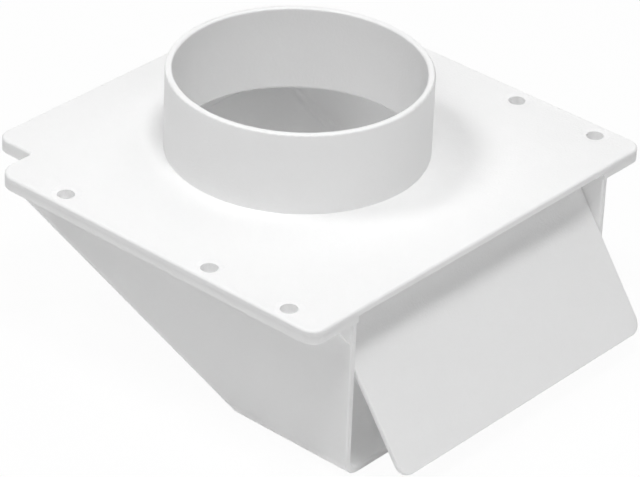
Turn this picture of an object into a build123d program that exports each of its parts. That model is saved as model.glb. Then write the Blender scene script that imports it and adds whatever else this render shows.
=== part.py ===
"""Under eave vent: a soffit plate with a duct collar, a wedge hood below it and a damper flap.

Millimetres, +Z up. The origin is where the collar's axis meets the top of the plate, which lies
against the soffit. The outlet faces -Y, and the duct comes down the collar from above.
"""
import os
from math import cos, hypot, radians, tan

from build123d import *

# Mounting plate: front and back reach are measured from the collar's axis
plate_width = 187.0
front_reach = 92.2
back_reach = 84.8
plate_thickness = 2.8
corner_radius = 6.0
ear_radius = 8.0
notch_width = 18.2
notch_depth = 19.0
notch_round = 1.5
edge_round = 1.0

# Duct collar, a straight spigot that a 4 inch duct slides over
collar_radius = 50.4
collar_wall = 2.8
collar_height = 33.0
rim_round = 0.9
bore_mouth_bevel = 2.0

# Screw holes: a square pattern about the collar and one more hole at each front corner
screw_inset = 7.0
front_screw_inset = 18.0
screw_pitch = 72.0
screw_hole = 6.6
screw_recess = 11.4
screw_recess_slope = 0.5
screw_recess_depth = 0.45

# Hood: depth and places are measured from the plate's top and from the collar's axis
hood_width = 145.2
hood_wall = 2.8
hood_depth = 71.6
hood_back_reach = 75.6
hood_setback = 0.4
floor_length = 56.2
floor_rise = 22.0
hood_round = 7.0
flange_thickness = 3.0
flange_bevel = 0.35
mouth_bevel = 0.5
gusset_reach = 6.7
gusset_drop = 8.3
gusset_thickness = 2.2

# Damper flap, hung on two stub pins in the hood's side walls
hinge_setback = 13.7
hinge_drop = 9.0
flap_thickness = 2.0
flap_corner = 5.5
flap_bevel = 0.4
flap_lean = 35.0
barrel_radius = 3.0
pin_radius = 2.0

# Clearances
pin_clearance = 0.08
flap_side_clearance = 0.3
flap_seat_clearance = 0.3

# Places worked out from the sizes above
flange_bottom = -plate_thickness - flange_thickness
bore_radius = collar_radius - collar_wall
cavity_width = hood_width - 2 * hood_wall
hood_front = hood_setback - front_reach
flap_width = cavity_width - 2 * flap_side_clearance
hinge_place = Pos(0, hinge_setback - front_reach, -hinge_drop)
flap_seat = hinge_setback - hood_setback + flap_thickness / 2 + flap_seat_clearance
flap_length = hypot(flap_seat, hood_depth - hinge_drop)
screw_reach = plate_width / 2 - screw_inset
screw_rows = (screw_pitch / 2, -screw_pitch / 2, front_screw_inset - front_reach)
screw_places = [Pos(side * screw_reach, row) for side in (-1, 1) for row in screw_rows]
bottom_up = (Align.CENTER, Align.CENTER, Align.MIN)
top_down = (Align.CENTER, Align.CENTER, Align.MAX)


def rounded(outline, reach, row, radius):
    """Outline with the two corners at this reach to either side and in this row rounded."""
    corner = Vector(reach, row)
    found = [v for v in outline.vertices() if (Vector(abs(v.X), v.Y) - corner).length < 1e-3]
    return fillet(found, radius)


def plate_outline():
    """Outline of the plate, which the hood's flange repeats."""
    half_width = plate_width / 2
    tongue_reach = half_width - notch_width
    notch_row = back_reach - notch_depth
    outline = Pos(0, (back_reach - front_reach) / 2) * Rectangle(plate_width, front_reach + back_reach)
    for side in (-1, 1):
        notch_place = Pos(side * (half_width - notch_width / 2), back_reach - notch_depth / 2)
        outline -= notch_place * Rectangle(notch_width, notch_depth)
    outline = rounded(outline, half_width, -front_reach, corner_radius)
    outline = rounded(outline, tongue_reach, back_reach, corner_radius)
    outline = rounded(outline, half_width, notch_row, ear_radius)
    return rounded(outline, tongue_reach, notch_row, notch_round)


def ring_edges(part, radius, height):
    """Round edges with this radius, at this height."""
    rings = part.edges().filter_by(GeomType.CIRCLE)
    rings = rings.filter_by_position(Axis.Z, height - 1e-3, height + 1e-3)
    return [ring for ring in rings if abs(ring.radius - radius) < 1e-3]


def make_mounting_plate():
    """Flat plate with the collar raised on it and the bore through both."""
    plate = extrude(plate_outline(), -plate_thickness)
    plate = fillet(plate.faces().sort_by(Axis.Z)[-1].edges(), edge_round)
    plate += Cylinder(collar_radius, collar_height, align=bottom_up)
    bore_length = plate_thickness + collar_height
    plate -= Pos(0, 0, -plate_thickness) * Cylinder(bore_radius, bore_length, align=bottom_up)
    rim = ring_edges(plate, collar_radius, collar_height) + ring_edges(plate, bore_radius, collar_height)
    plate = fillet(rim, rim_round)
    plate = chamfer(ring_edges(plate, bore_radius, -plate_thickness), bore_mouth_bevel)
    recess_top = screw_recess / 2
    recess = Cone(recess_top - screw_recess_slope, recess_top, screw_recess_depth, align=top_down)
    for place in screw_places:
        plate -= place * Cylinder(screw_hole / 2, 3 * plate_thickness)
        plate -= place * recess
    return plate


def hood_form(width, wall, front, top, round_radius):
    """Wedge form set in by a wall all round, with its lower and back corners rounded."""
    half_rise = radians(floor_rise / 2)
    bottom = wall - hood_depth
    back = hood_back_reach - wall
    kink = hood_front + floor_length
    back_bottom = -hood_depth + (back - kink) * tan(2 * half_rise) + wall / cos(2 * half_rise)
    section = make_face(
        Polyline(
            (front, top),
            (front, bottom),
            (kink - wall * tan(half_rise), bottom),
            (back, back_bottom),
            (back, top),
            close=True,
        )
    )
    form = extrude(Plane.YZ * section, width / 2, both=True)
    side_edges = [edge for edge in form.edges() if abs(abs(edge.center().X) - width / 2) < 1e-3]
    below_top = [edge for edge in side_edges if edge.center().Z < top - 1e-3]
    lower_edges = [edge for edge in below_top if edge.center().Y > front + 1e-3]
    return fillet(lower_edges, round_radius)


def make_gusset():
    """Triangular web in the corner between the left wall and its flange, just behind the mouth."""
    root = (hood_wall - hood_width) / 2
    tip = -hood_width / 2 - gusset_reach
    web_top = flange_bottom + flange_bevel
    web = make_face(
        Polyline(
            (root, web_top),
            (tip, web_top),
            (tip, flange_bottom),
            (-hood_width / 2, flange_bottom - gusset_drop),
            (root, flange_bottom - gusset_drop),
            close=True,
        )
    )
    return Pos(0, hood_front + mouth_bevel, 0) * extrude(Plane.XZ * web, -gusset_thickness)


def make_hood():
    """Thin-walled wedge, open above and in front, with its flange, gusset and holes."""
    cavity = hood_form(cavity_width, hood_wall, 2 * hood_front, plate_thickness, hood_round - hood_wall)
    shell = hood_form(hood_width, 0, hood_front, -plate_thickness, hood_round) - cavity
    mouth = shell.faces().sort_by(Axis.Y)[0]
    rims = mouth.edges().filter_by(Axis.X, reverse=True) + mouth.edges().sort_by(Axis.Z)[:2]
    shell = chamfer(rims, mouth_bevel)
    flange = Pos(0, 0, -plate_thickness) * extrude(plate_outline(), -flange_thickness)
    flange = chamfer(flange.faces().sort_by(Axis.Z)[0].edges(), flange_bevel)
    hood = shell + (flange - cavity) + make_gusset()
    for place in screw_places:
        hood -= place * Cylinder(screw_hole / 2, 4 * (plate_thickness + flange_thickness))
    hinge_hole = Cylinder(pin_radius + pin_clearance, 2 * plate_width, rotation=(0, 90, 0))
    return hood - hinge_place * hinge_hole


def make_damper_flap():
    """Thin flap below a hinge barrel, leaning out as far as the wind has lifted it."""
    leaf_face = Pos(0, -flap_length / 2) * Rectangle(flap_width, flap_length)
    leaf_face = fillet(leaf_face.vertices().group_by(Axis.Y)[0], flap_corner)
    leaf = extrude(Plane.XZ * leaf_face, flap_thickness / 2, both=True)
    rims = [edge for face in leaf.faces().filter_by(Axis.Y) for edge in face.edges()]
    leaf = chamfer([edge for edge in rims if edge.center().Z < -flap_bevel], flap_bevel)
    barrel = Cylinder(barrel_radius, flap_width, rotation=(0, 90, 0))
    pins = Cylinder(pin_radius, hood_width, rotation=(0, 90, 0))
    return hinge_place * Rot(-flap_lean, 0, 0) * (leaf + barrel + pins)


os.makedirs("parts", exist_ok=True)
export_step(make_mounting_plate(), "parts/mounting_plate.step")
export_step(make_hood(), "parts/hood.step")
export_step(make_damper_flap(), "parts/damper_flap.step")
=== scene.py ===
import math

import bpy
from mathutils import Matrix, Vector


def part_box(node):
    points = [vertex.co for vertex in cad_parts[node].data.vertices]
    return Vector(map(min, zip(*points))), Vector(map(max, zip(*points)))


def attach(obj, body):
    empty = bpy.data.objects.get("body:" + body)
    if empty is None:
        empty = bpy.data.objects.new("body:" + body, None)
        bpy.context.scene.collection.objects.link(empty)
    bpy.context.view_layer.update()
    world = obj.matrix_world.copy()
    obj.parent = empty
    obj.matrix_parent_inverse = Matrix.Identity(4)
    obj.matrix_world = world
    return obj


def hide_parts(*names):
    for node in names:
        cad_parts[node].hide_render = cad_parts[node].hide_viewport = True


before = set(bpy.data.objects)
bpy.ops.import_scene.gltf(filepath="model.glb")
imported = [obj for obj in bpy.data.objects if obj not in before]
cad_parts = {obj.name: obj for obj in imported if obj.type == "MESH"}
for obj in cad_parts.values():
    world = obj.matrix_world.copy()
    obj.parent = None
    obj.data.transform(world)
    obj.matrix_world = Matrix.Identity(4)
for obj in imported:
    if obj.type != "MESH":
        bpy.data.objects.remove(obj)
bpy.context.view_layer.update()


# Mounting plate: a flat square sheet with the round duct collar standing on it, moulded in one
# piece of white polypropylene. Six screws in shallow round recesses hold it against the soffit.
scene = bpy.context.scene


def moulded_copy(node, name, body, round_angle):
    """Copy of a CAD solid, merged and shaded smooth over edges below an angle in degrees."""
    merge_distance = 1e-6
    flat_face_weight = 100
    piece = bpy.data.objects.new(name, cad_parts[node].data.copy())
    scene.collection.objects.link(piece)
    bpy.ops.object.select_all(action="DESELECT")
    piece.select_set(True)
    bpy.context.view_layer.objects.active = piece
    bpy.ops.object.mode_set(mode="EDIT")
    bpy.ops.mesh.select_all(action="SELECT")
    bpy.ops.mesh.customdata_custom_splitnormals_clear()
    bpy.ops.mesh.remove_doubles(threshold=merge_distance)
    bpy.ops.object.mode_set(mode="OBJECT")
    bpy.ops.object.shade_smooth_by_angle(angle=math.radians(round_angle))
    # Flat faces stay flat to the eye, and the shading turns within the rounded edges
    even = piece.modifiers.new("even_normals", "WEIGHTED_NORMAL")
    even.keep_sharp = True
    even.weight = flat_face_weight
    bpy.ops.object.modifier_apply(modifier=even.name)
    piece.data.materials.clear()
    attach(piece, body)
    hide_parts(node)
    return piece


def linear(hex_colour):
    """sRGB hex as a linear colour with alpha."""
    parts = [int(hex_colour[k:k + 2], 16) / 255 for k in (1, 3, 5)]
    return [p / 12.92 if p <= 0.04045 else ((p + 0.055) / 1.055) ** 2.4 for p in parts] + [1.0]


def add_node(tree, kind, links=None, **settings):
    """Adds a node, sets its properties, and fills or links its sockets by name or number."""
    node = tree.nodes.new(kind)
    for name, value in settings.items():
        setattr(node, name, value)
    for name, source in (links or {}).items():
        if isinstance(source, bpy.types.NodeSocket):
            tree.links.new(source, node.inputs[name])
        else:
            node.inputs[name].default_value = source
    return node


# White polypropylene, injection moulded: a satin skin with a fine spark-eroded grain from the
# mould, shallow waves where the melt shrank, and walls that light passes a little way into.
def white_polypropylene(name, tint, shade, grain_mm):
    """Satin white polypropylene between two whites, with the mould's grain at a size in mm."""
    material = bpy.data.materials.new(name)
    material.use_nodes = True
    tree = material.node_tree
    shader = tree.nodes["Principled BSDF"]
    place = add_node(tree, "ShaderNodeTexCoord").outputs["Object"]

    # Slow drift of the melt's whiteness from one patch to the next
    drift_mm = 45
    drift = add_node(
        tree,
        "ShaderNodeTexNoise",
        {"Vector": place, "Scale": 1000 / drift_mm, "Detail": 3.0},
    )
    colour = add_node(
        tree,
        "ShaderNodeMix",
        {"Factor": drift.outputs["Fac"], "A": linear(tint), "B": linear(shade)},
        data_type="RGBA",
    )
    tree.links.new(colour.outputs["Result"], shader.inputs["Base Color"])

    # Gloss that varies from spot to spot, where the mould was polished by hand
    polish_mm = 12
    smoothest = 0.40
    roughest = 0.52
    polish = add_node(
        tree,
        "ShaderNodeTexNoise",
        {"Vector": place, "Scale": 1000 / polish_mm, "Detail": 2.0},
    )
    gloss = add_node(
        tree,
        "ShaderNodeMapRange",
        {"Value": polish.outputs["Fac"], "To Min": smoothest, "To Max": roughest},
    )
    tree.links.new(gloss.outputs["Result"], shader.inputs["Roughness"])

    # Spark-eroded grain, 0.4 mm wide on the real skin and drawn coarser so that it shows
    grain_depth = 0.0003
    grain = add_node(
        tree,
        "ShaderNodeTexNoise",
        {"Vector": place, "Scale": 1000 / grain_mm, "Detail": 2.0},
    )
    fine = add_node(
        tree,
        "ShaderNodeBump",
        {"Height": grain.outputs["Fac"], "Strength": 0.4, "Distance": grain_depth},
    )

    # Shallow waves where the melt shrank, on top of the grain
    wave_mm = 12
    wave_depth = 0.0006
    waves = add_node(
        tree,
        "ShaderNodeTexNoise",
        {"Vector": place, "Scale": 1000 / wave_mm, "Detail": 1.0},
    )
    skin = add_node(
        tree,
        "ShaderNodeBump",
        {
            "Height": waves.outputs["Fac"],
            "Strength": 0.5,
            "Distance": wave_depth,
            "Normal": fine.outputs["Normal"],
        },
    )
    tree.links.new(skin.outputs["Normal"], shader.inputs["Normal"])

    shader.inputs["IOR"].default_value = 1.49
    shader.inputs["Subsurface Weight"].default_value = 0.3
    shader.inputs["Subsurface Radius"].default_value = (1.0, 1.0, 1.0)
    shader.inputs["Subsurface Scale"].default_value = 0.0015
    return material


plate_skin = white_polypropylene(
    "satin_plate_polypropylene", tint="#f8f8f8", shade="#f4f4f4", grain_mm=1.0
)
plate = moulded_copy("mounting_plate", "moulded_plate", "housing", round_angle=50)
plate.data.materials.append(plate_skin)

# Hood: a thin-walled wedge moulded with its flange, open above to the bore and in front to the
# weather. The flange is bonded to the plate, and holes near the mouth take the flap's pins. The
# kink of 22 degrees in its floor stays a crease, so only gentler edges are shaded smooth.
hood_skin = white_polypropylene(
    "satin_hood_polypropylene", tint="#f9f9f9", shade="#f4f4f4", grain_mm=1.0
)
hood = moulded_copy("hood", "moulded_hood", "housing", round_angle=20)
hood.data.materials.append(hood_skin)

# Damper flap: a thin moulded leaf below a round barrel, whose stub pins snap into the hood's
# walls. The exhaust lifts it, and it hangs part open here.
flap_skin = white_polypropylene(
    "satin_flap_polypropylene", tint="#f9f9f9", shade="#f5f5f5", grain_mm=0.9
)
flap = moulded_copy("damper_flap", "moulded_flap", "flap", round_angle=50)
flap.data.materials.append(flap_skin)

# Studio floor: a wide sheet of matt white paper that the hood's flat bottom stands on. It lies a
# hair below the hood, so that the two faces don't share a plane.
floor_width = 6.0
floor_gap = 0.0002
floor_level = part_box("hood")[0].z - floor_gap
bpy.ops.object.select_all(action="DESELECT")
bpy.ops.mesh.primitive_plane_add(size=floor_width, location=(0, 0, floor_level))
floor = bpy.context.object
floor.name = "studio_floor"
floor_sheet = bpy.data.materials.new("matt_white_paper")
floor_sheet.use_nodes = True
floor_tree = floor_sheet.node_tree
paper = floor_tree.nodes["Principled BSDF"]
paper.inputs["Base Color"].default_value = linear("#f8f8f8")
paper.inputs["Roughness"].default_value = 0.9


def seen_directly(tree):
    """Socket that is 1 for camera, glossy and transmission rays, and 0 for light on the vent."""
    ray = add_node(tree, "ShaderNodeLightPath").outputs
    seen = ray["Is Camera Ray"]
    for way in ("Is Glossy Ray", "Is Transmission Ray"):
        either = add_node(tree, "ShaderNodeMath", {0: seen, 1: ray[way]}, operation="MAXIMUM")
        seen = either.outputs["Value"]
    return seen


# Where it is seen, most of the sheet glows plain white, which leaves the vent's shadow faint
glow_share = 0.95
glow = add_node(floor_tree, "ShaderNodeEmission", {"Color": (1, 1, 1, 1), "Strength": 1.0})
share = add_node(
    floor_tree,
    "ShaderNodeMath",
    {0: seen_directly(floor_tree), 1: glow_share},
    operation="MULTIPLY",
)
sheet = add_node(
    floor_tree,
    "ShaderNodeMixShader",
    {0: share.outputs["Value"], 1: paper.outputs["BSDF"], 2: glow.outputs["Emission"]},
)
floor_output = floor_tree.nodes["Material Output"]
floor_tree.links.new(sheet.outputs["Shader"], floor_output.inputs["Surface"])
floor.data.materials.append(floor_sheet)

# Studio air: plain white where it is seen, also in reflections. It lights the vent only a little
# from all round, so that the lamps shape it.
air_light = 0.04
air = bpy.data.worlds.new("studio_air")
scene.world = air
air.use_nodes = True
air_tree = air.node_tree
background = air_tree.nodes["Background"]
background.inputs["Color"].default_value = (1, 1, 1, 1)
strength = add_node(
    air_tree,
    "ShaderNodeMapRange",
    {"Value": seen_directly(air_tree), "To Min": air_light, "To Max": 1.0},
)
air_tree.links.new(strength.outputs["Result"], background.inputs["Strength"])

# Softboxes: six square white lamps round the vent, each turned to face it, with their places and
# sides in metres and their power in watts. The two brightest give the collar its soft shadow.
for lamp_name, lamp_place, lamp_side, lamp_power in (
    ("overhead_softbox", (-0.25, -0.36, 1.3), 0.34, 7.55),
    ("back_left_softbox", (-0.42, 0.5, 1.13), 0.36, 4.7),
    ("left_softbox", (-0.85, 0.0, 1.0), 0.5, 2.2),
    ("front_left_softbox", (-0.7, -0.7, 0.8), 0.8, 1.1),
    ("front_softbox", (0.1, -1.0, 0.7), 0.8, 1.65),
    ("right_softbox", (0.72, 0.0, 1.12), 0.7, 2.8),
):
    lamp_data = bpy.data.lights.new(lamp_name, "AREA")
    lamp_data.size = lamp_side
    lamp_data.energy = lamp_power
    lamp = bpy.data.objects.new(lamp_name, lamp_data)
    lamp.location = lamp_place
    lamp.rotation_euler = (-lamp.location).to_track_quat("-Z", "Y").to_euler()
    scene.collection.objects.link(lamp)

# Camera: a long lens to the left of the outlet and above the plate, with a slight roll. Light
# reaches the bore and the hood's inside after many bounces between white walls.
view_azimuth = math.radians(-49.49)
view_elevation = math.radians(31.35)
view_roll = math.radians(2.43)
view_distance = 1.3905
view_aim = Vector((-0.00725, -0.01928, -0.02961))
level = math.cos(view_elevation)
back = Vector((
    math.sin(view_azimuth) * level,
    -math.cos(view_azimuth) * level,
    math.sin(view_elevation),
))
turn = back.to_track_quat("Z", "Y").to_matrix() @ Matrix.Rotation(view_roll, 3, "Z")
camera_data = bpy.data.cameras.new("photo_camera")
camera_data.lens = 208.2
camera_data.sensor_width = 36.0
camera = bpy.data.objects.new("photo_camera", camera_data)
camera.matrix_world = Matrix.Translation(view_aim + back * view_distance) @ turn.to_4x4()
scene.collection.objects.link(camera)
scene.camera = camera
scene.view_settings.view_transform = "Standard"
scene.cycles.max_bounces = 16
scene.cycles.diffuse_bounces = 12
